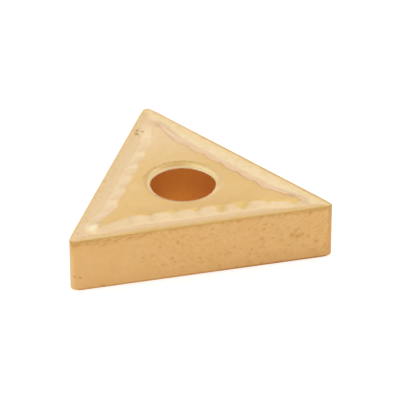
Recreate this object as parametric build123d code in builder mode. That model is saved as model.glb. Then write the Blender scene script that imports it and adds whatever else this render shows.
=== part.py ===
from build123d import *
import math
import os

# ---------------------------------------------------------------------------
# Triangular double-sided negative turning insert, pressed and sintered in one
# piece.  Millimetres.  The origin is on the axis of the clamping hole at mid
# thickness, +Z is the hole axis, one flank faces -Y and one nose points +Y.
# ---------------------------------------------------------------------------

# overall form
inscribed_d = 12.70          # diameter of the circle inscribed in the flanks
nose_r = 0.40                # nose radius
edge_to_edge = 4.62          # distance between the two cutting-edge planes
island_rise = 0.14           # island top above its cutting-edge plane
hone_r = 0.05                # honed cutting edge

# clamping hole
bore_d = 5.16                # through bore
dish_d = 6.10                # shallow conical dish round the bore, on top
dish_depth = 0.20
bore_lip_r = 0.16            # rounding from the dish into the bore
dish_rim_r = 0.30            # rounding from the island top into the dish

# chip groove, the same on both faces
land_w = 0.25                # flat land behind the cutting edge
rake_end = 1.30              # flank to the foot of the rake slope
groove_depth = 0.17          # deepest groove floor below the cutting-edge plane
wall_angle = 18.0            # slope of the wall from the floor to the island
floor_r = 1.50               # rounding between the rake slope and the floor

# scalloped island outline along one side, measured outward from the hole axis
arch_count = 6               # concave arches along each side
arch_pitch = 1.94
arch_apex = 3.98             # hole axis to the innermost point of an arch
arch_r = 2.25
tip_half_angle = 12.8        # half of the angle between the edges of a tip
tip_r = 0.20                 # rounding of each island tip
border_r = 0.50              # rounding from the island top into its wall

inscribed_r = inscribed_d / 2
half_edge = edge_to_edge / 2
half_total = half_edge + island_rise


def side_point(x, d, side):
    """Point x along a side and d outward from the axis, for side 0, 1 or 2."""
    a = math.radians(-90 + 120 * side)
    ox, oy = math.cos(a), math.sin(a)
    return (-oy * x + ox * d, ox * x + oy * d)


def triangle_corners(inradius):
    """Corners of the triangle whose sides lie inradius away from the axis."""
    return [(2 * inradius * math.cos(math.radians(a)),
             2 * inradius * math.sin(math.radians(a))) for a in (-30, 90, 210)]


# ---- island outline: six arches between cusps, then a straight run to a tip --
first_x = -arch_pitch * (arch_count - 1) / 2
centre_d = arch_apex + arch_r                    # arch centres lie outside it
cusp_d = centre_d - math.sqrt(arch_r**2 - (arch_pitch / 2) ** 2)
# the straight run leaves the last arch at a tangent, at this slope
slope = math.radians(30 - tip_half_angle)
run_x = -first_x + arch_r * math.sin(slope)
run_d = centre_d - arch_r * math.cos(slope)
# and it ends at a tangent to the tip arc, centred on the line to the nose
nx, nd = -math.sin(slope), math.cos(slope)
ux, ud = math.cos(math.radians(30)), math.sin(math.radians(30))
tip_c = (nx * run_x + nd * run_d - tip_r) / (nx * ux + nd * ud)
tip_x, tip_d = tip_c * ux + tip_r * nx, tip_c * ud + tip_r * nd
tip_end = tip_c + tip_r

with BuildPart() as island:
    with BuildSketch(Plane.XY.offset(half_total)):
        with BuildLine():
            for side in range(3):
                Line(side_point(-tip_x, tip_d, side),
                     side_point(-run_x, run_d, side))
                start = (-run_x, run_d)
                for i in range(arch_count):
                    centre_x = first_x + i * arch_pitch
                    if i < arch_count - 1:
                        end = (centre_x + arch_pitch / 2, cusp_d)
                    else:
                        end = (run_x, run_d)
                    mid_x = (start[0] + end[0]) / 2
                    mid_d = centre_d - math.sqrt(
                        arch_r**2 - (mid_x - centre_x) ** 2)
                    ThreePointArc(side_point(*start, side),
                                  side_point(mid_x, mid_d, side),
                                  side_point(*end, side))
                    start = end
                Line(side_point(run_x, run_d, side),
                     side_point(tip_x, tip_d, side))
                ThreePointArc(side_point(tip_x, tip_d, side),
                              side_point(tip_end * ux, tip_end * ud, side),
                              side_point(-tip_x, tip_d, (side + 1) % 3))
        make_face()
    # the wall widens downwards, to just under the groove floor
    extrude(amount=-(island_rise + groove_depth + 0.02),
            taper=-(90 - wall_angle))
    fillet(island.faces().sort_by(Axis.Z)[-1].edges(), border_r)

# ---- rake slopes: a shallow three-sided bowl from the land to the floor ------
# section of one side, as (outward distance, height)
rake_slope = math.atan2(groove_depth, rake_end - land_w)
floor_tangent = floor_r * math.tan(rake_slope / 2)
rake_foot_d = inscribed_r - rake_end
floor_z = half_edge - groove_depth

with BuildPart() as rake_side:
    with BuildSketch(Plane.YZ):
        with BuildLine():
            Line((0, half_edge), (-(inscribed_r - land_w), half_edge))
            Line((-(inscribed_r - land_w), half_edge),
                 (-(rake_foot_d + floor_tangent * math.cos(rake_slope)),
                  floor_z + floor_tangent * math.sin(rake_slope)))
            ThreePointArc(
                (-(rake_foot_d + floor_tangent * math.cos(rake_slope)),
                 floor_z + floor_tangent * math.sin(rake_slope)),
                (-(rake_foot_d - floor_tangent
                   + floor_r * math.sin(rake_slope / 2)),
                 floor_z + floor_r * (1 - math.cos(rake_slope / 2))),
                (-(rake_foot_d - floor_tangent), floor_z))
            Line((-(rake_foot_d - floor_tangent), floor_z), (0, floor_z))
            Line((0, floor_z), (0, half_edge))
        make_face()
    extrude(amount=2 * inscribed_r, both=True)
    # kept between the lines from the axis to the two noses
    with BuildSketch(Plane.XY):
        Polygon((0, 0), triangle_corners(inscribed_r)[2],
                triangle_corners(inscribed_r)[0], align=None)
    extrude(amount=half_total, mode=Mode.INTERSECT)

with BuildPart() as rake_bowl:
    for side in range(3):
        add(rake_side.part, rotation=(0, 0, 120 * side))
print("bowl", rake_bowl.part.is_valid, round(rake_bowl.part.volume, 3))

# ---- the insert --------------------------------------------------------------
with BuildPart() as insert_body:
    with BuildSketch(Plane.XY.offset(-half_edge)) as outline:
        Polygon(*triangle_corners(inscribed_r), align=None)
        fillet(outline.vertices(), nose_r)
    extrude(amount=edge_to_edge)

    # honed edges round both faces
    fillet(insert_body.faces().filter_by(Plane.XY).edges(), hone_r)

    # chip groove and raised island, on the top face and mirrored below
    add(rake_bowl.part, mode=Mode.SUBTRACT)
    add(island.part)
    split(bisect_by=Plane.XY, keep=Keep.TOP)
    mirror(about=Plane.XY)

    # clamping hole with its shallow dishes
    Hole(radius=bore_d / 2)
    for sign in (1, -1):
        with BuildSketch(Plane.XZ) as dish_section:
            with BuildLine():
                Polyline((0, sign * (half_total - dish_depth)),
                         (bore_d / 2, sign * (half_total - dish_depth)),
                         (dish_d / 2, sign * half_total),
                         (0, sign * half_total), close=True)
            make_face()
        revolve(axis=Axis.Z, mode=Mode.SUBTRACT)
    rims = insert_body.edges().filter_by(GeomType.CIRCLE)
    fillet(rims.filter_by(lambda e: abs(e.radius - bore_d / 2) < 1e-3
                          and abs(e.arc_center.X) + abs(e.arc_center.Y) < 1e-3),
           bore_lip_r)
    rims = insert_body.edges().filter_by(GeomType.CIRCLE)
    fillet(rims.filter_by(lambda e: abs(e.radius - dish_d / 2) < 1e-3
                          and abs(e.arc_center.X) + abs(e.arc_center.Y) < 1e-3),
           dish_rim_r)

print("island tip reaches", round(tip_end, 3), "cusps at", round(cusp_d, 3))
print("valid", insert_body.part.is_valid, "solids", len(insert_body.solids()),
      "volume", round(insert_body.part.volume, 2), "faces",
      len(insert_body.faces()))
print(insert_body.part.bounding_box())

os.makedirs("parts", exist_ok=True)
insert_body.part.label = "insert_body"
export_step(insert_body.part, "parts/insert_body.step")
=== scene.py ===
import math

import bmesh
import bpy
import numpy as np
from mathutils import Matrix, Vector


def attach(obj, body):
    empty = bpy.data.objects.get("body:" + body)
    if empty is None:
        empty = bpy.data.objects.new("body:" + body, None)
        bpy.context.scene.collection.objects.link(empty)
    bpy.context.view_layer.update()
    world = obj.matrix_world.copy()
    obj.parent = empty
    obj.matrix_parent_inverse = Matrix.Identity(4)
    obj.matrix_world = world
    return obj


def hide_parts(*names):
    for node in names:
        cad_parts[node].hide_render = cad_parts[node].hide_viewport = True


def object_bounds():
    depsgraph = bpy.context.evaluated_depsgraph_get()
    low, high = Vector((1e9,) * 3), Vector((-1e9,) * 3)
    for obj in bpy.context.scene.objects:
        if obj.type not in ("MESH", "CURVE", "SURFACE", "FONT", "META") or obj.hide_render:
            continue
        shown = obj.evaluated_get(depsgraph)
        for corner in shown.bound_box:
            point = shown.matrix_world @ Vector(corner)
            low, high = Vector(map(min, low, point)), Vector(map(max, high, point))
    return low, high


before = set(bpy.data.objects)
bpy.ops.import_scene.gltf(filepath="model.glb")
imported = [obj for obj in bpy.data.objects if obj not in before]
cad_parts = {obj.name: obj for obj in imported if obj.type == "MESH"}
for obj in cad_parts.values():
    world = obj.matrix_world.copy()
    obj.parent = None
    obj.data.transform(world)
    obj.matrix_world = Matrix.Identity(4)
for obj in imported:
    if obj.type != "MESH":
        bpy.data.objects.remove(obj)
CAD_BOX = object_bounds()
MM = 0.001

# ---------------------------------------------------------------------------
# Form of the insert, in millimetres, repeated from its construction
# ---------------------------------------------------------------------------
SKIN = 0.002         # the visual surface lies this far inside the solid's outline
RI = 6.35 - SKIN     # inscribed radius
NOSE = 0.40          # nose radius
HALF = 2.31          # half the distance between the cutting-edge planes
RISE = 0.139         # island top above its cutting-edge plane
TOP = HALF + RISE
BORE = 2.58
DISH = 3.05
DISH_DEPTH = 0.20
LIP = 0.16
LAND_D = 6.10        # inner border of the land
RAKE_TAN = math.tan(math.radians(9.2))
WALL_TAN = math.tan(math.radians(18.0))
PITCH = 1.94
ARCHES = 6
APEX = 3.98
ARCH_R = 2.25
TIP_HALF = 12.8
TIP_R = 0.20

FIRST_X = -PITCH * (ARCHES - 1) / 2
CENTRE_D = APEX + ARCH_R
SLOPE = math.radians(30 - TIP_HALF)
RUN_X = -FIRST_X + ARCH_R * math.sin(SLOPE)
RUN_D = CENTRE_D - ARCH_R * math.cos(SLOPE)
NX, ND = -math.sin(SLOPE), math.cos(SLOPE)
UX, UD = math.cos(math.radians(30)), math.sin(math.radians(30))
MEAN_D = 4.00        # mean line of the scalloped border
BEND_X = RUN_X + (MEAN_D - RUN_D) / math.tan(SLOPE)
TIP_C = (NX * RUN_X + ND * RUN_D - TIP_R) / (NX * UX + ND * UD)
TIP_X, TIP_D = TIP_C * UX + TIP_R * NX, TIP_C * UD + TIP_R * ND


def smax(a, b, k):
    """Smooth maximum: rounds the crease where a and b cross, over about k."""
    h = np.clip(k - np.abs(a - b), 0, None)
    return np.maximum(a, b) + h * h / (4 * k)


def ramp(x, w):
    """0 below -w/2, x above w/2, and a parabola between."""
    return np.where(x > w / 2, x, np.where(x < -w / 2, 0, (x + w / 2) ** 2 / (2 * w)))


def step(x, a, b):
    """Smooth step from 0 at a to 1 at b."""
    t = np.clip((x - a) / (b - a), 0, 1)
    return t * t * (3 - 2 * t)


def side_frame(k):
    """Outward direction of side k (0 front, 1 right, 2 left)."""
    a = math.radians(-90 + 120 * k)
    return math.cos(a), math.sin(a)


def scallop(xa):
    """How far the scalloped border stands outside its mean line (rounded cusps)."""
    best = None
    for cx in [-PITCH / 2] + [FIRST_X + i * PITCH for i in range(ARCHES // 2, ARCHES)]:
        v = np.sqrt(np.clip(ARCH_R ** 2 - (xa - cx) ** 2, 0.2, None)) - CENTRE_D
        v = np.where(np.abs(xa - cx) > 1.9, -9.0, v)
        best = v if best is None else smax(best, v, 0.05)
    return (-best - MEAN_D) * (1 - step(xa, RUN_X - 0.4, RUN_X + 0.6))


def wear(x, y):
    """Small irregularity of the pressed border, in mm."""
    return (0.016 * np.sin(2.3 * x + 1.4 * y + 0.4) + 0.014 * np.sin(-1.9 * x + 2.9 * y + 2.0)
            + 0.010 * np.sin(4.7 * x - 1.1 * y + 1.1) + 0.008 * np.sin(3.1 * x + 5.9 * y + 4.0)
            # the front border is worn further back along its left half
            + 0.130 * step(x, -8.3, -6.6) * step(x, -1.4, -3.0) * step(y, -2.0, -3.0))


def island_distance(xs, d):
    """How far outside the island outline a point of one side lies (negative inside).
    The arches are deepest at the border and fade towards the foot of the wall."""
    xa = np.abs(xs)
    flat = d - MEAN_D
    line = NX * (xa - RUN_X) + ND * (d - RUN_D)
    # the straight part and the run to the tip meet in a smooth bend
    along = (xa - BEND_X) * ND - (d - MEAN_D) * NX
    t = step(along, -0.8, 0.8)
    base = flat * (1 - t) + line * t
    past = (xa - TIP_X) * ND - (d - TIP_D) * NX
    base = np.where(past > 0, np.hypot(xa - TIP_C * UX, d - TIP_C * UD) - TIP_R, base)
    return base - scallop(xa) * (1 - step(base, 0.15, 1.25))


def face_height(x, y):
    """Height of the face above its cutting-edge plane, with the distances that its
    finish follows: outside the island outline, and towards the flank."""
    xs, ds = [], []
    for k in range(3):
        ox, oy = side_frame(k)
        xs.append(-oy * x + ox * y)
        ds.append(ox * x + oy * y)
    xs, ds = np.stack(xs), np.stack(ds)
    k = ds.argmax(0)[None]
    d1 = np.take_along_axis(ds, k, 0)[0]
    x1 = np.take_along_axis(xs, k, 0)[0]
    d2 = np.sort(ds, 0)[1]
    # the three rake slopes meet in a rounded valley behind each nose, and round the
    # nose the land follows the nose radius
    reach = smax(d1, d2, 0.30)
    for a in (-30, 90, 210):
        ca, sa = math.cos(math.radians(a)), math.sin(math.radians(a))
        px, py = x - 2 * (RI - NOSE) * ca, y - 2 * (RI - NOSE) * sa
        u, w = px * ca + py * sa, np.abs(-px * sa + py * ca)
        inside = (u > 0) & (w < u * math.tan(math.radians(60)))
        reach = np.where(inside, RI - NOSE + np.hypot(px, py), np.where(u > -0.3, d1, reach))
    rake = -RAKE_TAN * ramp(LAND_D - reach, 0.16)
    border = island_distance(x1, d1) + wear(x, y)
    wall = RISE - WALL_TAN * ramp(border, 0.34)
    return smax(rake, wall, 0.10), border, reach


# ---------------------------------------------------------------------------
# The mesh: loops that follow the outline, the groove, the island and the hole
# ---------------------------------------------------------------------------
def half_side():
    """Matching points of half a side, from its middle to the nose: outer outline
    and island outline as (along, outward), with the outward normal of the outline."""
    xe = list(np.arange(0, 43) * PITCH / 16)
    xe += list(np.linspace(xe[-1], TIP_X, 25)[1:])
    xe = np.array(xe)
    de = np.where(xe < RUN_X, 0.0, RUN_D + (xe - RUN_X) * math.tan(SLOPE))
    for i in range(len(xe)):
        if xe[i] < RUN_X:
            cx = min(FIRST_X + round((xe[i] - FIRST_X) / PITCH) * PITCH, -FIRST_X)
            de[i] = CENTRE_D - math.sqrt(ARCH_R ** 2 - (xe[i] - cx) ** 2)
    x_end = 2 * (RI - NOSE) * UX
    xa = np.where(xe <= 5.0, xe, 5.0 + (xe - 5.0) * (x_end - 5.0) / (TIP_X - 5.0))
    da = np.full_like(xa, RI)
    na = np.stack([np.zeros_like(xa), np.ones_like(xa)], -1)
    arc = np.radians(np.linspace(90, 30, 9))[1:]
    xo = np.concatenate([xa, x_end + NOSE * np.cos(arc)])
    do = np.concatenate([da, RI - NOSE + NOSE * np.sin(arc)])
    no = np.concatenate([na, np.stack([np.cos(arc), np.sin(arc)], -1)])
    start = math.atan2(ND, NX)
    tip = np.linspace(start, math.radians(30), 9)[1:]
    xi = np.concatenate([xe, TIP_C * UX + TIP_R * np.cos(tip)])
    di = np.concatenate([de, TIP_C * UD + TIP_R * np.sin(tip)])
    return np.stack([xo, do], -1), no, np.stack([xi, di], -1)


def whole(half):
    """Half a side mirrored and turned into the closed loop round all three sides."""
    loop = []
    for k in range(3):
        ox, oy = side_frame(k)
        # the nose's last point is the next side's first one
        side = np.concatenate([half[1:][::-1] * np.array([-1, 1]), half])[1:]
        loop.append(np.stack([-oy * side[:, 0] + ox * side[:, 1],
                              ox * side[:, 0] + oy * side[:, 1]], -1))
    return np.concatenate(loop)


outer_h, normal_h, island_h = half_side()
outer, normal, island = whole(outer_h), whole(normal_h), whole(island_h)
N = len(outer)

rng = np.random.default_rng(7)
nose_near = step(np.hypot(outer[:, 0], outer[:, 1]), 11.2, 12.2)


def wander(freqs, amp):
    """A smooth closed-loop wander along the edge."""
    t = 2 * np.pi * np.arange(N) / N
    v = sum(rng.normal() * np.cos(f * t + rng.uniform(0, 6.28)) / math.sqrt(len(freqs)) for f in freqs)
    return amp * v


INWARD = [0.010, 0.025, 0.05, 0.075, 0.095, 0.115, 0.14, 0.18, 0.23, 0.28, 0.33, 0.38, 0.42,
          0.46, 0.50, 0.53, 0.56, 0.59, 0.62, 0.65, 0.68, 0.71, 0.745, 0.78, 0.82, 0.86, 0.895,
          0.925, 0.95, 0.975, 1.0]


def face_rings(sign, hone):
    """Rings of one face, from the edge inward to the hole, as (xy, z, zone)."""
    made = []
    edge = outer - normal * hone[:, None]
    for t in np.radians([22, 45, 68, 90]):
        made.append((outer - normal * (hone * (1 - np.cos(t)))[:, None],
                     HALF - hone * (1 - np.sin(t)), 0.0))
    for t in INWARD:
        xy = edge * (1 - t) + island * t
        made.append((xy, HALF + face_height(xy[:, 0], xy[:, 1])[0], 0.0))
    # inward from the island outline to the rim of the dish
    ang_i = np.unwrap(np.arctan2(island[:, 1], island[:, 0]))
    ang_u = ang_i[0] + (ang_i[-1] - ang_i[0]) * np.arange(N) / (N - 1)
    ang = ang_i * 0.45 + ang_u * 0.55
    rim = np.stack([np.cos(ang), np.sin(ang)], -1)
    for t in (0.03, 0.06, 0.10, 0.16, 0.25, 0.38, 0.54, 0.70, 0.86, 1.0):
        xy = island * (1 - t) + rim * 3.32 * t
        made.append((xy, HALF + face_height(xy[:, 0], xy[:, 1])[0], 0.0))
    slope = DISH_DEPTH / (DISH - BORE)
    for r in (3.25, 3.19, 3.14, 3.09, 3.04, 2.99, 2.94, 2.89, 2.84, 2.79):
        z = TOP - slope * float(ramp(np.array(DISH - r), 0.30))
        made.append((rim * r, np.full(N, z), 0.0))
    # tangent rounding between the dish's cone and the bore, fuller on the far side
    turn = math.atan(slope)
    along, away = 0.969 * rim[:, 0] - 0.247 * rim[:, 1], 0.247 * rim[:, 0] + 0.969 * rim[:, 1]
    lip = LIP + (0.06 + 0.10 * np.abs(along)) * step(away * sign, -0.40, 0.30)
    cz = TOP - DISH_DEPTH - lip * math.tan((math.pi / 2 - turn) / 2)
    cr = BORE + lip
    for q in np.linspace(0, 1, 9):
        b = (math.pi / 2 + turn) + q * (math.pi / 2 - turn)
        made.append((rim * (cr + lip * math.cos(b))[:, None], cz + lip * math.sin(b), 0.0))
    return [(xy, z * sign, zone) for xy, z, zone in made], rim, cz


hone_top = np.clip(0.042 - 0.014 * step(outer[:, 1], -6.2, -5.8) + np.where(outer[:, 1] > 6, 0.09, 0.05) * nose_near
                   + wander([5, 9, 14, 23, 37], 0.004), 0.022, 0.16)
# the lower corners are rounded off, most at one nose
turned = step(np.hypot(outer[:, 0], outer[:, 1]), 11.85, 12.25)
turned = turned * np.where(outer[:, 1] > 0, 0.09, np.where(outer[:, 0] < 0, 0.17, 0.15))
hone_bot = np.clip(0.026 + turned + wander([4, 8, 15, 27, 41], 0.004), 0.018, 0.28)
top, rim, lip_top = face_rings(1, hone_top)
bottom, _, lip_bot = face_rings(-1, hone_bot)

sequence = list(top[::-1])
zt, zb = HALF - hone_top, hone_bot - HALF
for q in (0, 0.008, 0.03, 0.07, 0.12, 0.18, 0.24, 0.30, 0.37, 0.44, 0.50, 0.56, 0.63, 0.70,
          0.76, 0.82, 0.88, 0.93, 0.97, 0.992, 1.0):
    sequence.append((outer, zt * (1 - q) + zb * q, 1.0))
sequence += bottom
for q in np.linspace(0, 1, 15)[1:-1]:
    sequence.append((rim * BORE, lip_top * q - lip_bot * (1 - q), 0.0))

verts = np.concatenate([np.column_stack([xy, z]) for xy, z, _ in sequence])
# two of the noses are worn back a little towards the foot
worn = step(np.hypot(verts[:, 0], verts[:, 1]), 11.7, 12.15) * step(verts[:, 1], 0.0, -3.0)
worn = worn * np.where(verts[:, 0] < 0, 0.045, 0.015) * (HALF - verts[:, 2]) / (2 * HALF)
verts[:, :2] *= (1 - worn / 12.3)[:, None]
zone_v = np.concatenate([np.full(N, zone) for *_, zone in sequence])
idx = np.arange(N)
quads = []
for r in range(len(sequence)):
    a, b = r * N + idx, r * N + (idx + 1) % N
    r2 = (r + 1) % len(sequence)
    quads.append(np.stack([a, b, r2 * N + (idx + 1) % N, r2 * N + idx], -1))
quads = np.concatenate(quads)

mesh = bpy.data.meshes.new("insert_body_visual")
mesh.from_pydata((verts * MM).tolist(), [], quads.tolist())
mesh.attributes.new("zone", "FLOAT", "POINT").data.foreach_set("value", zone_v.astype(np.float32))

# Dents in the coating that the light catches: centre (x, y, z), radius and depth.
# The mesh is refined round each one, then pushed in.
DENTS = [(-1.56, 9.02, 2.25, 0.18, 0.055), (-1.69, 8.52, 2.25, 0.21, 0.070),
         (-1.15, 8.82, 2.25, 0.15, 0.050), (-2.17, -1.70, 2.28, 0.15, 0.055),
         (-10.30, -6.35, -1.10, 0.13, 0.030), (-9.90, -6.35, -1.15, 0.10, 0.025),
         (-3.10, -6.35, -1.00, 0.11, 0.022), (-4.90, -6.35, -0.10, 0.10, 0.020),
         (-2.10, -6.35, 0.95, 0.12, 0.022), (7.55, -6.35, 0.02, 0.14, 0.030),
         (7.95, -6.35, -0.12, 0.10, 0.024), (7.25, -6.35, 0.12, 0.09, 0.022),
         (4.90, -6.35, 0.20, 0.10, 0.020), (9.40, -6.35, -0.80, 0.10, 0.022)]
bm = bmesh.new()
bm.from_mesh(mesh)
for rounds, reach_by in ((1, 1.9), (1, 1.5)):
    near = set()
    for x, y, z, r, depth in DENTS:
        c = Vector((x, y, z)) * MM
        for e in bm.edges:
            if ((e.verts[0].co + e.verts[1].co) / 2 - c).length < r * reach_by * MM:
                near.add(e)
    bmesh.ops.subdivide_edges(bm, edges=list(near), cuts=rounds, use_grid_fill=True)
bmesh.ops.triangulate(bm, faces=[f for f in bm.faces if len(f.verts) > 4])
bmesh.ops.recalc_face_normals(bm, faces=bm.faces)
bm.normal_update()
push = {}
for x, y, z, r, depth in DENTS:
    c = Vector((x, y, z)) * MM
    for v in bm.verts:
        q = (v.co - c).length / (r * MM)
        if q < 1:
            push[v] = push.get(v, Vector()) - v.normal * depth * MM * (1 - q * q) ** 2
for v, move in push.items():
    v.co += move
bm.to_mesh(mesh)
bm.free()
mesh.shade_smooth()

# what the finish follows, worked out again for every point of the refined mesh
co = np.empty(len(mesh.vertices) * 3)
mesh.vertices.foreach_get("co", co)
co = co.reshape(-1, 3) / MM
_, border_v, reach_v = face_height(co[:, 0], co[:, 1])
# the cusps between the arches, clearest along the front row's right half, where painted shade is laid
tooth_v = np.zeros(len(co))
for k, share in ((0, 1.0), (1, 0.30), (2, 0.22)):
    ox, oy = side_frame(k)
    xs, ds = -oy * co[:, 0] + ox * co[:, 1], ox * co[:, 0] + oy * co[:, 1]
    if k == 0:
        share = 0.35 + 0.65 * step(xs, -2.5, 1.5)
    b = island_distance(xs, ds)
    t = step(scallop(np.abs(xs)), 0.02, 0.15) * (np.abs(xs) < 5.0) * step(b, 0.42, 0.12) * step(b, -0.18, 0.0)
    run = step(xs, 4.6, 5.6) * step(b, 0.34, 0.10) * step(b, -0.14, 0.02) * (0.75 if k == 0 else 0.25)
    tooth_v = np.maximum(tooth_v, np.maximum(t * share, run) * (ds > 3.2) * (xs < 8.8))
for name, values in (("border", border_v), ("reach", reach_v), ("tooth", tooth_v)):
    mesh.attributes.new(name, "FLOAT", "POINT").data.foreach_set("value", values.astype(np.float32))
# position turned into each side's own frame (along, outward, up), kept per face corner
loops = np.empty(len(mesh.loops), dtype=np.int64)
mesh.loops.foreach_get("vertex_index", loops)
counts = np.empty(len(mesh.polygons), dtype=np.int64)
mesh.polygons.foreach_get("loop_total", counts)
owner = np.repeat(np.arange(len(counts)), counts)
corner = co[loops]
centre = np.stack([np.bincount(owner, corner[:, i]) / counts for i in range(2)], -1)
reach3 = np.stack([side_frame(k)[0] * centre[:, 0] + side_frame(k)[1] * centre[:, 1] for k in range(3)])
side_of = reach3.argmax(0)[owner]
sx = np.array([side_frame(k)[0] for k in range(3)])[side_of]
sy = np.array([side_frame(k)[1] for k in range(3)])[side_of]
local = np.stack([-sy * corner[:, 0] + sx * corner[:, 1] + 31.0 * side_of,
                  sx * corner[:, 0] + sy * corner[:, 1], corner[:, 2]], -1)
mesh.attributes.new("local", "FLOAT_VECTOR", "CORNER").data.foreach_set(
    "vector", local.astype(np.float32).ravel())

body = bpy.data.objects.new("insert_visual", mesh)
bpy.context.scene.collection.objects.link(body)
print("visual mesh", len(mesh.vertices), "points", int((counts - 2).sum()), "triangles")


# ---------------------------------------------------------------------------
# Material
# ---------------------------------------------------------------------------
class Tree:
    """Short names for the nodes used below."""

    def __init__(self, nt):
        self.n, self.l = nt.nodes, nt.links

    def put(self, socket, v):
        if isinstance(v, bpy.types.NodeSocket):
            self.l.new(v, socket)
        elif isinstance(v, (tuple, list)) and socket.type == "RGBA":
            socket.default_value = (*v, 1) if len(v) == 3 else v
        else:
            socket.default_value = v

    def math(self, op, a, b=0.0, c=0.0, clamp=False):
        n = self.n.new("ShaderNodeMath")
        n.operation, n.use_clamp = op, clamp
        for s, v in zip(n.inputs, (a, b, c)):
            self.put(s, v)
        return n.outputs[0]

    def vec(self, op, a, b=None, scale=None):
        n = self.n.new("ShaderNodeVectorMath")
        n.operation = op
        self.put(n.inputs[0], a)
        if b is not None:
            self.put(n.inputs[1], b)
        if scale is not None:
            self.put(n.inputs["Scale"], scale)
        return n.outputs["Value"] if op in ("DISTANCE", "LENGTH", "DOT_PRODUCT") else n.outputs["Vector"]

    def step(self, v, lo, hi, a=0.0, b=1.0):
        n = self.n.new("ShaderNodeMapRange")
        n.interpolation_type = "SMOOTHSTEP"
        self.put(n.inputs["Value"], v)
        for key, x in (("From Min", lo), ("From Max", hi), ("To Min", a), ("To Max", b)):
            self.put(n.inputs[key], x)
        return n.outputs["Result"]

    def mix(self, fac, a, b, blend="MIX"):
        n = self.n.new("ShaderNodeMix")
        n.data_type, n.blend_type = "RGBA", blend
        n.clamp_factor = True
        self.put(n.inputs["Factor"], fac)
        self.put([s for s in n.inputs if s.name == "A" and s.type == "RGBA"][0], a)
        self.put([s for s in n.inputs if s.name == "B" and s.type == "RGBA"][0], b)
        return [s for s in n.outputs if s.type == "RGBA"][0]

    def noise(self, vector, scale, detail=2.0, rough=0.5):
        n = self.n.new("ShaderNodeTexNoise")
        self.put(n.inputs["Vector"], vector)
        n.inputs["Scale"].default_value = scale
        n.inputs["Detail"].default_value = detail
        n.inputs["Roughness"].default_value = rough
        return n.outputs[0]

    def attr(self, name, vector=False):
        n = self.n.new("ShaderNodeAttribute")
        n.attribute_name = name
        return n.outputs["Vector"] if vector else n.outputs["Fac"]

    def parts(self, vector):
        n = self.n.new("ShaderNodeSeparateXYZ")
        self.put(n.inputs[0], vector)
        return n.outputs

    def join(self, x, y, z):
        n = self.n.new("ShaderNodeCombineXYZ")
        for s, v in zip(n.inputs, (x, y, z)):
            self.put(s, v)
        return n.outputs[0]


mat = bpy.data.materials.new("coated_carbide")
mat.use_nodes = True
T = Tree(mat.node_tree)
bsdf = mat.node_tree.nodes["Principled BSDF"]

coord = T.n.new("ShaderNodeTexCoord").outputs["Object"]
P = T.vec("SCALE", coord, scale=1000.0)          # position in mm
px, py, pz = T.parts(P)
zone = T.attr("zone")
border = T.attr("border")
reach = T.attr("reach")
L = T.attr("local", vector=True)
lx, ld, lz = T.parts(L)
radius = T.vec("LENGTH", T.join(px, py, 0.0))
is_flank = T.step(zone, 0.35, 0.75)
# the bore's darker colour, partly painted shade of the hole, starts a little further down on the far side than on the
# near one
ux, uy = T.math("DIVIDE", px, radius), T.math("DIVIDE", py, radius)
sx = T.math("SUBTRACT", T.math("MULTIPLY", ux, 0.969), T.math("MULTIPLY", uy, 0.247))
sy = T.math("ADD", T.math("MULTIPLY", ux, 0.247), T.math("MULTIPLY", uy, 0.969))
upper = T.step(sy, -0.50, 0.16)
start = T.math("SUBTRACT", 2.155, T.math("ADD", T.math("MULTIPLY", T.math("ABSOLUTE", sx), 0.12),
                                         T.math("MULTIPLY", T.math("MAXIMUM", sx, 0.0), 0.07)))
start = T.math("ADD", T.math("MULTIPLY", start, upper),
               T.math("MULTIPLY", T.math("SUBTRACT", 1.0, upper), 2.283))
depth = T.math("SUBTRACT", T.math("ABSOLUTE", pz), start)
is_bore = T.math("MULTIPLY", T.step(depth, 0.022, -0.022), T.step(radius, 2.78, 2.72))
is_face = T.math("SUBTRACT", 1.0, T.math("ADD", is_flank, is_bore), clamp=True)

one = lambda v: T.math("SUBTRACT", 1.0, v, clamp=True)
mul = lambda a, b: T.math("MULTIPLY", a, b)

# ragged versions of the borders, so that the tints don't end in ruled lines
fray = T.math("SUBTRACT", T.noise(P, 1.6, 3.0, 0.55), 0.5)
fray_fine = T.math("SUBTRACT", T.noise(P, 6.0, 2.0, 0.5), 0.5)
edge_b = T.math("ADD", border, mul(fray, 0.20))
on_left = T.step(lx, 45.0, 47.0)
on_right = mul(T.step(lx, 14.0, 16.0), one(on_left))
edge_r = T.math("ADD", reach, mul(fray, 0.18))

TAN = (0.735, 0.471, 0.171)        # ground island
APEX_TAN = (0.790, 0.555, 0.290)   # island towards the far nose
PALE = (0.820, 0.595, 0.335)       # pressed groove, its own paler tint and partly painted highlight
DULL = (0.755, 0.515, 0.205)       # rake towards the land
LAND = (0.665, 0.405, 0.125)       # honed land
FLANK = (0.665, 0.390, 0.148)
BORE_C = (0.668, 0.262, 0.038)
OCHRE_SHADE = (0.750, 0.487, 0.167)      # painted shade on the teeth between the arches
OLIVE_SHADE = (0.640, 0.395, 0.130)      # darker border line, painted shade of the island's rounded edge
DARK = (0.440, 0.225, 0.040)       # specks and pits

drift = T.noise(P, 0.45, 2.0, 0.5)
mottle = T.noise(P, 2.4, 4.0, 0.6)
grain = T.noise(P, 9.0, 3.0, 0.65)

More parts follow.
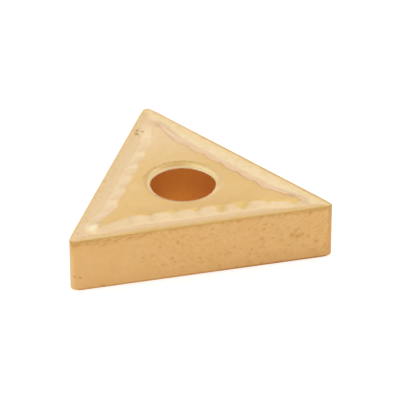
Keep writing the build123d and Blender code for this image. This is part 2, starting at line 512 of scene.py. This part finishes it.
# the island, paler towards the far nose, with the fine marks of grinding
sweep = T.noise(T.join(mul(T.math("SUBTRACT", mul(px, 0.97), mul(py, 0.25)), 0.6),
                       mul(T.math("ADD", mul(py, 0.97), mul(px, 0.25)), 5.0), pz), 1.0, 3.0, 0.6)
isl = T.mix(T.step(py, 1.5, 8.5), TAN, APEX_TAN)
isl = T.mix(mul(T.step(py, -2.2, -3.6), T.step(T.math("ABSOLUTE", px), 6.0, 3.5)), isl, (0.690, 0.425, 0.150))
isl = T.mix(T.step(drift, 0.42, 0.68, 0.0, 0.12), isl, PALE)
isl = T.mix(T.step(sweep, 0.50, 0.80, 0.0, 0.06), isl, DARK)
calm = T.step(py, 7.0, 1.5, 0.30, 1.0)
isl = T.mix(mul(T.step(mottle, 0.50, 0.72, 0.0, 0.15), calm), isl, (0.76, 0.51, 0.24))
isl = T.mix(mul(T.step(T.noise(P, 1.1, 3.0, 0.6), 0.52, 0.70, 0.0, 0.20), calm), isl, (0.69, 0.435, 0.145))
# the pressed groove, pinker on the right side, which is painted reflection, brighter along that side's foot, which is
# painted light, with a painted highlight in its valley near the front
groove = T.step(edge_b, -0.12, 0.34)
groove_and_highlight = T.mix(on_right, PALE, (0.805, 0.605, 0.350))
# painted light along the right groove's foot
groove_and_highlight = T.mix(mul(on_right, T.step(edge_b, 0.75, 0.35)), groove_and_highlight, (0.870, 0.615, 0.370))
valley = mul(mul(T.step(edge_r, 4.46, 4.62), T.step(edge_r, 4.96, 4.80)), on_right)
# painted highlight in the right groove's valley
groove_and_highlight = T.mix(mul(valley, T.step(py, -4.6, -3.6, 0.0, 0.75)), groove_and_highlight, (0.960, 0.680, 0.430))
# each arch's near end on the left side gets a painted highlight, and so does the left wall near the far nose
archend = T.math("PINGPONG", T.math("ADD", lx, 1.42 + 0.97 - 62.0), 0.97)
wall_highlight = mul(T.step(archend, 0.35, 0.90), mul(T.step(edge_b, 0.02, 0.30), T.step(edge_b, 1.05, 0.60)))
wall_highlight = mul(wall_highlight, T.step(T.math("ADD", py, mul(fray, 1.0)), 6.8, 5.8, 0.0, 0.60))
far = T.vec("DISTANCE", T.join(mul(T.math("ADD", px, mul(fray_fine, 0.3)), 1.9), py, 0.0), (-0.88 * 1.9, 7.85, 0.0))
wall_highlight = T.math("MAXIMUM", wall_highlight, T.step(far, 1.25, 0.35, 0.0, 0.52))
# painted highlights, on the left side only
groove_and_highlight = T.mix(mul(mul(on_left, wall_highlight), T.step(edge_b, -0.02, 0.20)), groove_and_highlight, (0.855, 0.680, 0.420))
col = T.mix(groove, isl, groove_and_highlight)
less = T.math("SUBTRACT", 1.0, T.math("ADD", mul(on_left, 0.78), mul(on_right, 0.65)))
less = mul(less, T.step(px, -9.0, -4.0, 0.45, 1.0))
col = T.mix(mul(T.step(edge_r, 5.30, 6.05), less), col, DULL)
col = T.mix(mul(T.step(edge_r, 4.9, 5.4), T.step(grain, 0.42, 0.66, 0.0, 0.16)), col, (0.66, 0.43, 0.16))
# land and honed edge
land = mul(T.step(edge_r, 6.06, 6.20), T.math("SUBTRACT", 1.0, mul(on_right, T.step(T.noise(P, 1.3, 3.0, 0.6), 0.56, 0.42, 0.0, 0.35))))
land = mul(land, T.math("SUBTRACT", 1.0, mul(on_right, T.step(px, 4.2, 2.2, 0.0, 0.60))))
land = mul(land, T.math("SUBTRACT", 1.0, mul(one(T.math("ADD", on_left, on_right)), T.step(px, -3.0, -8.0, 0.0, 0.62))))
col = T.mix(mul(land, T.math("SUBTRACT", 1.0, mul(on_left, 0.65))), col, LAND)
keen = mul(mul(T.step(reach, 6.22, 6.30), T.step(px, -2.0, 4.0)), one(T.math("ADD", on_left, on_right)))
col = T.mix(mul(keen, 0.45), col, (0.55, 0.29, 0.07))
# a darker line along the island's border, painted shade of its rounded edge, and darker teeth between the arches,
# painted shade on the cusps
line = mul(T.step(edge_b, -0.16, -0.02), T.step(edge_b, 0.18, 0.02))
line = mul(line, T.step(T.noise(P, 0.9, 3.0, 0.6), 0.40, 0.60, 0.10, 0.70))
line = mul(line, T.math("SUBTRACT", 1.0, mul(on_left, 0.75)))
line = mul(line, T.math("SUBTRACT", 1.0, mul(on_right, T.step(py, 3.5, 6.0, 0.0, 0.85))))
line = T.math("ADD", line, mul(mul(T.step(border, -0.22, -0.05), T.step(border, 0.10, -0.02)), mul(on_right, 0.30)), clamp=True)
col = T.mix(line, col, OLIVE_SHADE)
# painted shade on the cusps between the arches
tooth = T.attr("tooth")
tooth = mul(T.step(T.math("ADD", tooth, mul(fray_fine, 0.6)), 0.15, 0.85), 0.95)
col = T.mix(tooth, col, OCHRE_SHADE)
col = T.mix(T.step(mottle, 0.45, 0.75, 0.0, 0.10), col, (0.62, 0.38, 0.12))

# dish and lip: a painted highlight on the lip, widest on one side; the dish painted lighter on its near side and
# towards the right, painted shade on its far side, and a broken dark arc of painted shade on the far rim
back = T.math("DIVIDE", T.math("ADD", mul(px, 0.707), mul(py, 0.707)), radius)
facing = T.math("DIVIDE", T.math("ADD", mul(px, 0.88), mul(py, 0.47)), radius)
sector = T.step(facing, 0.60, 0.98)
lip_r = T.math("ADD", radius, mul(fray_fine, 0.06))
# painted highlight along the lip
lip = T.step(lip_r, 2.80, 2.68)
col = T.mix(mul(mul(lip, is_face), 0.9), col, (0.86, 0.64, 0.36))
# painted shade on the dish's far side
ring = mul(mul(T.step(lip_r, 3.42, 3.14), T.step(lip_r, 2.62, 2.76)), is_face)
col = T.mix(mul(ring, T.step(back, 0.35, 0.80, 0.0, 0.88)), col, (0.610, 0.378, 0.130))
# painted light on the dish's near side, narrower on the left
narrow = T.math("ADD", lip_r, T.step(ux, -0.55, -0.95, 0.0, 0.11))
ring = mul(T.step(narrow, 3.10, 2.94), is_face)
col = T.mix(mul(ring, T.step(back, 0.50, 0.10, 0.0, 0.88)), col, (0.90, 0.655, 0.335))
# painted highlight on the dish towards the right
ring = mul(mul(T.step(lip_r, 3.10, 2.80), sector), is_face)
col = T.mix(mul(ring, T.step(T.noise(P, 5.5, 3.0, 0.6), 0.34, 0.56, 0.62, 0.92)), col, (0.79, 0.605, 0.300))
# painted highlight on the right of the dish's outer edge
halo = mul(T.step(radius, 3.50, 3.20), T.step(radius, 2.95, 3.20))
col = T.mix(mul(halo, T.step(px, 2.0, 3.2, 0.0, 0.35)), col, (0.80, 0.565, 0.34))
# a broken dark arc of painted shade on the far rim
arc_r = T.math("ADD", radius, mul(fray_fine, 0.20))
arc = mul(T.step(arc_r, 2.96, 3.10), T.step(arc_r, 3.36, 3.20))
arc = mul(arc, T.step(py, 0.6, 2.4))
arc = mul(arc, T.step(T.noise(P, 3.2, 3.0, 0.7), 0.40, 0.62, 0.25, 0.90))
arc = mul(arc, T.step(facing, 0.93, 0.70))
col = T.mix(mul(arc, is_face), col, (0.53, 0.31, 0.095))

# greyer at the ends of the island, paler spots near them, one of which, outside the left end, is a painted highlight,
# and ochre spots of painted shade on the front row's cusps
for x, y, r, tint, much in ((-7.95, -4.36, 0.42, (0.62, 0.42, 0.23), 0.70),
                            (7.95, -4.02, 0.55, (0.60, 0.39, 0.20), 0.65),
                            (8.46, -4.58, 0.30, (0.84, 0.62, 0.34), 0.70), (-10.42, -6.02, 0.32, (0.86, 0.62, 0.33), 0.55),
                            (0.10, 9.15, 0.70, (0.66, 0.45, 0.25), 0.50),
                            # the first spot below, pale, is a painted highlight outside the island's left end
                            (-8.48, -4.72, 0.62, (0.83, 0.70, 0.45), 0.90), (7.40, -3.86, 0.34, (0.63, 0.42, 0.20), 0.50),
                            # the ochre spots below are painted shade on the front row's cusps
                            (-3.87, 0.26, 0.85, (0.80, 0.56, 0.28), 0.45), (3.35, -4.36, 0.42, OCHRE_SHADE, 0.60),
                            (2.30, -4.44, 0.42, OCHRE_SHADE, 0.60), (4.20, -4.35, 0.36, OCHRE_SHADE, 0.50),
                            (7.84, -5.00, 0.42, OCHRE_SHADE, 0.80), (5.90, -4.52, 0.30, OCHRE_SHADE, 0.50),
                            (3.80, -4.46, 0.55, OCHRE_SHADE, 0.95), (1.92, -4.48, 0.48, OCHRE_SHADE, 0.90),
                            (0.00, -4.22, 0.42, OCHRE_SHADE, 0.85), (-2.05, -4.10, 0.42, OCHRE_SHADE, 0.60)):
    far = T.vec("DISTANCE", T.join(T.math("ADD", px, mul(fray_fine, 0.55)), T.math("ADD", py, mul(fray, 0.60)), 0.0), (x, y, 0.0))
    col = T.mix(T.math("MULTIPLY", T.step(far, r, r * 0.20, 0.0, much), is_face), col, tint)

# dotted wear along the left edge
dots = T.step(T.noise(P, 3.4, 2.0, 0.5), 0.54, 0.68)
dots = mul(mul(dots, T.step(reach, 5.45, 6.0)), T.step(px, 1.0, -2.0))
col = T.mix(mul(mul(dots, is_face), 0.50), col, (0.64, 0.41, 0.14))

# flank: two tones, then strokes and specks that thicken towards one end
fl = T.mix(T.step(drift, 0.35, 0.65, 0.0, 0.5), FLANK, (0.690, 0.415, 0.178))
fl = T.mix(T.step(mottle, 0.45, 0.72, 0.0, 0.30), fl, (0.625, 0.365, 0.125))
busy = T.step(T.math("ADD", px, mul(fray, 5.0)), -6.5, -1.5)
s1 = T.noise(T.join(mul(T.math("SUBTRACT", mul(lx, 0.77), mul(lz, 0.64)), 1.5),
                    mul(T.math("ADD", mul(lx, 0.64), mul(lz, 0.77)), 5.0), 0.0), 1.0, 3.0, 0.6)
s2 = T.noise(T.join(mul(T.math("ADD", mul(lx, 0.80), mul(lz, 0.60)), 1.6),
                    mul(T.math("SUBTRACT", mul(lz, 0.80), mul(lx, 0.60)), 5.0), 7.0), 1.0, 3.0, 0.6)
lean = T.step(T.math("ADD", px, mul(fray, 4.0)), 1.0, 6.0)
strokes = T.math("ADD", mul(s1, one(lean)), mul(s2, lean))
stroke_dark = T.step(strokes, 0.54, 0.70)
stroke_pale = T.step(strokes, 0.46, 0.32)
fl = T.mix(mul(mul(stroke_dark, busy), 0.34), fl, DARK)
fl = T.mix(mul(mul(stroke_pale, busy), 0.40), fl, (0.74, 0.47, 0.22))
specks = T.step(T.noise(L, 3.6, 2.0, 0.5), 0.60, 0.76)
specks = mul(specks, T.math("ADD", 0.10, mul(busy, 0.9)))
fl = T.mix(mul(specks, 0.40), fl, DARK)
fl = T.mix(T.step(grain, 0.50, 0.80, 0.0, 0.18), fl, DARK)
# smears under the top edge, streaky along one end and dotted along the rest
streak = T.noise(T.join(mul(lx, 1.3), mul(T.math("SUBTRACT", lz, mul(lx, 0.12)), 6.0), 3.0), 1.0, 3.0, 0.6)
below = T.math("ADD", lz, mul(fray, 0.9))
smear = mul(T.step(below, 1.45, 1.95), T.step(streak, 0.40, 0.60))
smear = mul(smear, T.step(T.math("ADD", px, mul(fray, 3.0)), -3.0, -5.5, 0.0, 0.85))
fl = T.mix(smear, fl, (0.50, 0.275, 0.080))
rim_dots = mul(T.step(T.math("ADD", lz, mul(fray, 0.5)), 1.85, 2.15), T.step(T.noise(L, 3.6, 2.0, 0.5), 0.44, 0.60))
fl = T.mix(mul(rim_dots, 0.60), fl, (0.48, 0.26, 0.075))
fl = T.mix(T.step(lz, 2.05, 2.24, 0.0, 0.45), fl, (0.50, 0.28, 0.08))
# browner towards the foot and darker along the bottom edge: painted shade
foot = T.step(T.math("ADD", lz, mul(fray, 0.8)), -0.6, -2.5)
fl = T.mix(mul(foot, T.step(px, -9.0, 9.0, 0.05, 0.28)), fl, (0.42, 0.20, 0.055))
# painted shade along the bottom edge
fl = T.mix(mul(T.step(lz, -2.08, -2.24), T.step(lx, 0.0, 4.5, 0.50, 0.85)), fl, (0.36, 0.14, 0.035))
# the turned corners of the top and right noses are darker, most on the right, painted shade, and the left one gets a
# painted highlight
nose = T.step(radius, 12.02, 12.16)
fl = T.mix(mul(nose, T.step(px, -2.0, 2.0, 0.0, 0.42)), fl, (0.50, 0.26, 0.085))
# painted highlight on the left nose, below its top
fl = T.mix(mul(mul(T.step(px, -10.30, -10.68), T.step(lz, 1.5, 0.4)), 0.50), fl, (0.76, 0.53, 0.28))
fl = T.mix(mul(T.step(below, 1.75, 2.1), T.step(px, -8.8, -9.9, 0.0, 0.45)), fl, (0.50, 0.275, 0.080))
# single specks: (along, up, radius, depth of tone)
wob = T.vec("ADD", P, T.join(mul(fray_fine, 0.45), 0.0, mul(T.math("SUBTRACT", grain, 0.5), 0.30)))
for x, z, r, much in ((-9.95, -1.14, 0.15, 0.75), (-10.45, -1.00, 0.16, 0.65), (-8.15, -2.24, 0.26, 0.60), (-4.88, -0.07, 0.16, 0.45),
                      (-4.92, 0.45, 0.13, 0.35), (-4.14, -0.01, 0.14, 0.45), (-3.51, 0.74, 0.16, 0.40),
                      (-3.10, -0.95, 0.14, 0.40), (-2.47, -0.49, 0.17, 0.55), (-2.06, 0.92, 0.18, 0.55),
                      (-1.65, 1.37, 0.18, 0.50), (-0.23, -0.80, 0.16, 0.40), (-0.09, 0.92, 0.18, 0.40),
                      (0.69, 1.66, 0.16, 0.45), (1.97, -0.76, 0.42, 0.25), (1.42, -1.78, 0.15, 0.45),
                      (2.57, -0.18, 0.16, 0.35), (3.85, -1.06, 0.20, 0.40), (3.85, -1.83, 0.22, 0.50),
                      (4.87, -2.08, 0.20, 0.50), (4.85, 0.20, 0.20, 0.65), (5.03, 1.03, 0.16, 0.50),
                      (5.75, 0.10, 0.18, 0.50), (6.43, -0.18, 0.14, 0.45), (4.93, -0.50, 0.16, 0.40),
                      (5.70, 1.39, 0.16, 0.40), (7.30, 0.16, 0.24, 0.60), (7.82, -0.05, 0.22, 0.65),
                      (8.20, 0.07, 0.18, 0.55), (7.59, 0.50, 0.18, 0.45), (7.81, 0.77, 0.13, 0.45),
                      (7.55, 0.00, 0.60, 0.22), (8.65, -0.18, 0.22, 0.30), (9.47, 0.63, 0.17, 0.50),
                      (9.39, -0.77, 0.18, 0.60), (8.22, -0.98, 0.22, 0.35), (8.77, 1.94, 0.22, 0.50),
                      (10.11, -1.27, 0.26, 0.35)):
    far = T.vec("DISTANCE", wob, (x, -RI, z))
    fl = T.mix(T.step(far, r * 1.35, 0.0, 0.0, much * 0.9), fl, DARK)
col = T.mix(is_flank, col, fl)

# bore: darker and redder, partly its own finish and partly painted shade of the hole, hardly varied
# the far lip gets a painted highlight down to the bore
lip_highlight = T.math("MAXIMUM", T.step(sx, -0.40, -0.75, 0.08, 0.60), T.step(sx, 0.20, 0.50, 0.0, 0.95))
lip_highlight = mul(mul(lip_highlight, T.step(sy, -0.10, 0.15)), mul(T.step(radius, 2.88, 2.74), T.step(pz, 2.28, 2.18)))
lip_highlight = mul(lip_highlight, is_face)
col = T.mix(lip_highlight, col, (0.99, 0.86, 0.55))
bore = T.mix(T.step(mottle, 0.40, 0.70, 0.0, 0.30), BORE_C, (0.645, 0.250, 0.036))
# painted light: brighter and more orange low down in the middle of the wall
bore = T.mix(mul(T.step(T.math("ABSOLUTE", px), 2.4, 0.4), T.step(pz, 1.8, -1.2)), bore, (0.725, 0.312, 0.040))
col = T.mix(is_bore, col, bore)

# pits on the rake near the far nose, dark inside
for x, y, z, r, depth in DENTS[:3]:
    far = T.vec("DISTANCE", P, (x, y, z))
    col = T.mix(T.step(far, r * 1.25, r * 0.4, 0.0, 0.70), col, (0.44, 0.27, 0.10))

col = T.mix(T.step(grain, 0.42, 0.72, 0.0, 0.08), col, (0.45, 0.27, 0.09))
T.put(bsdf.inputs["Base Color"], col)
T.put(bsdf.inputs["Metallic"], T.math("SUBTRACT", 1.0, mul(is_bore, 0.40)))
rough = T.math("ADD", 0.31, mul(T.step(mottle, 0.35, 0.70), 0.10))
rough = T.math("ADD", rough, mul(mul(groove, is_face), 0.07))
rough = T.math("ADD", rough, mul(mul(busy, is_flank), 0.06))
rough = T.math("ADD", rough, mul(specks, 0.06))
rough = T.math("ADD", rough, mul(is_bore, 0.25))
rough = T.math("SUBTRACT", rough, mul(lip_highlight, 0.14))
T.put(bsdf.inputs["Roughness"], rough)

# fine relief: pressed grain, grinding marks, strokes and specks
fine = T.math("ADD", mul(grain, 0.5), mul(mottle, 0.35))
fine = T.math("ADD", fine, mul(mul(sweep, is_face), 0.35))
fine = T.math("SUBTRACT", fine, mul(mul(mul(stroke_dark, busy), is_flank), 0.8))
fine = T.math("SUBTRACT", fine, mul(mul(specks, is_flank), 1.0))
bump = T.n.new("ShaderNodeBump")
bump.inputs["Strength"].default_value = 1.0
bump.inputs["Distance"].default_value = 0.000008
T.put(bump.inputs["Height"], fine)
T.put(bsdf.inputs["Normal"], bump.outputs["Normal"])
mesh.materials.append(mat)

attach(body, "root")
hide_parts("insert_body")

# ---------------------------------------------------------------------------
# Floor, light and camera
# ---------------------------------------------------------------------------
bpy.ops.mesh.primitive_circle_add(vertices=96, radius=1.2, fill_type="NGON",
                                  location=(0, 0, CAD_BOX[0][2]))
floor = bpy.context.object
floor.name = "floor"
fm = bpy.data.materials.new("floor_paper")
fm.use_nodes = True
fb = fm.node_tree.nodes["Principled BSDF"]
fb.inputs["Base Color"].default_value = (0.50, 0.50, 0.50, 1)
fb.inputs["Roughness"].default_value = 0.9
fb.inputs["Specular IOR Level"].default_value = 0.0
fb.inputs["Emission Color"].default_value = (1, 1, 1, 1)
fb.inputs["Emission Strength"].default_value = 0.68
floor.data.materials.append(fm)

world = bpy.data.worlds.new("studio")
bpy.context.scene.world = world
world.use_nodes = True
W = Tree(world.node_tree)
for n in list(W.n):
    W.n.remove(n)
out = W.n.new("ShaderNodeOutputWorld")
bg = W.n.new("ShaderNodeBackground")
W.l.new(bg.outputs[0], out.inputs[0])
ray = W.n.new("ShaderNodeTexCoord").outputs["Generated"]


def toward(az, el):
    """Direction at an angle to the right of straight back, and above the horizon."""
    a, e = math.radians(az), math.radians(el)
    return (math.sin(a) * math.cos(e), math.cos(a) * math.cos(e), math.sin(e))


# soft light: an even surround, and broad lights (direction, half-width, colour)
EVEN = (0.88, 0.88, 0.88)
LIGHTS = [("key", toward(-14, 49), 42, (0.33, 0.42, 0.53)),
          ("zenith", toward(0, 90), 60, (0.09, 0.11, 0.15)),
          ("back_low", toward(18, 4), 36, (0.10, 0.08, 0.17)),
          ("left", toward(-90, 25), 50, (0.05, 0.05, 0.05))]
sky = W.vec("SCALE", EVEN, scale=1.0)
for name, direction, width, rgb in LIGHTS:
    near = W.vec("DOT_PRODUCT", ray, direction)
    near = W.step(near, math.cos(math.radians(width)), 1.0)
    lit = W.vec("SCALE", rgb, scale=near)
    lit.node.name = name
    sky = W.vec("ADD", sky, lit)
# a thin white band along the horizon, so that the floor's far edge doesn't show
apart = W.math("ABSOLUTE", W.parts(ray)[2])
sky = W.vec("ADD", sky, W.vec("SCALE", (0.16, 0.16, 0.16), scale=W.step(apart, 0.09, 0.03)))
W.l.new(sky, bg.inputs["Color"])

# camera: at the photograph's viewing angle
AZ, EL = math.radians(-14.341), math.radians(31.810)
F_PX, DIST = 4031.0, 51.0255 * 6.35 * MM
AX, AY = -17.060, 7.870          # where the object's centre lies off the middle, px
cam_data = bpy.data.cameras.new("camera")
cam = bpy.data.objects.new("camera", cam_data)
bpy.context.scene.collection.objects.link(cam)
bpy.context.scene.camera = cam
cam_data.sensor_width = 36.0
cam_data.lens = 36.0 * F_PX / 400.0
back = Vector((math.sin(AZ) * math.cos(EL), -math.cos(AZ) * math.cos(EL), math.sin(EL)))
right = Vector((math.cos(AZ), math.sin(AZ), 0))
cam.location = back * DIST
# turned so that the object's centre falls at (200 + AX, 200 + AY)
turned = Matrix((right, back.cross(right), back)).transposed()
turned = turned @ Matrix.Rotation(math.atan2(AX, F_PX), 3, "Y") @ Matrix.Rotation(math.atan2(AY, F_PX), 3, "X")
cam.rotation_mode = "QUATERNION"
cam.rotation_quaternion = turned.to_quaternion()
cam_data.clip_start, cam_data.clip_end = 0.01, 10
cam_data.dof.use_dof = False

bpy.context.scene.view_settings.view_transform = "Standard"
bpy.context.scene.view_settings.look = "None"
